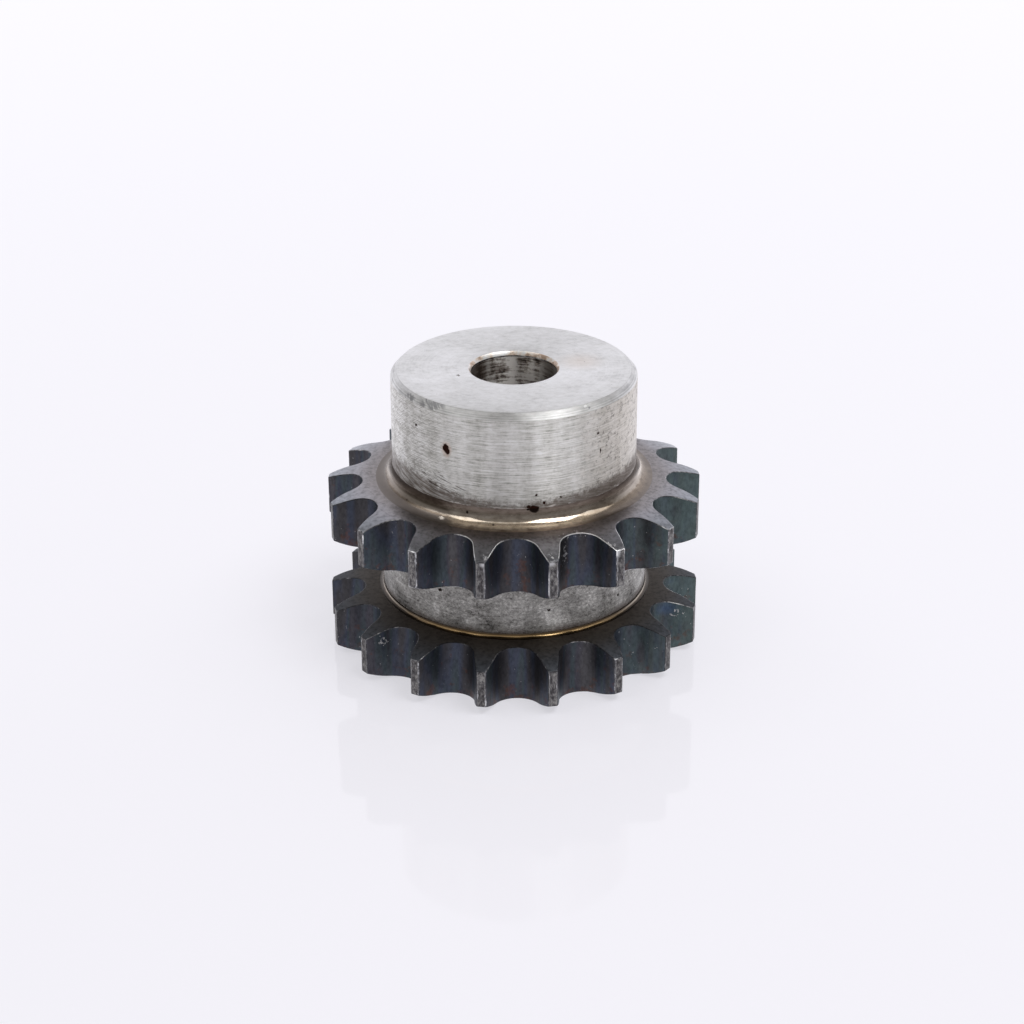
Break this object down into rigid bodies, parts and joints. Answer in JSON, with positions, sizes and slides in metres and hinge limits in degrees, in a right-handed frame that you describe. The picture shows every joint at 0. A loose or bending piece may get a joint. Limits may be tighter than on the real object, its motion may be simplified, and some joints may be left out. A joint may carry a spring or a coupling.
{
  "type": "chain sprocket",
  "caption": "Duplex chain sprocket: toothed rims in phase on a plain core, with a chamfered hub on one side and a plain bore right through.",
  "frame": {"origin": "on the bore's axis, midway between the two rows of teeth", "axes": "+Z along the bore, towards the hub's end; one tooth gap of each row is centred on -Y"},
  "size_m": [0.0746, 0.0743, 0.0571],
  "materials": {
    "quenched_steel": "turned bright on the hub, dark from quenching on the teeth"
  },
  "bodies": {
    "root": {"sprocket": "quenched_steel"}
  },
  "joints": []
}
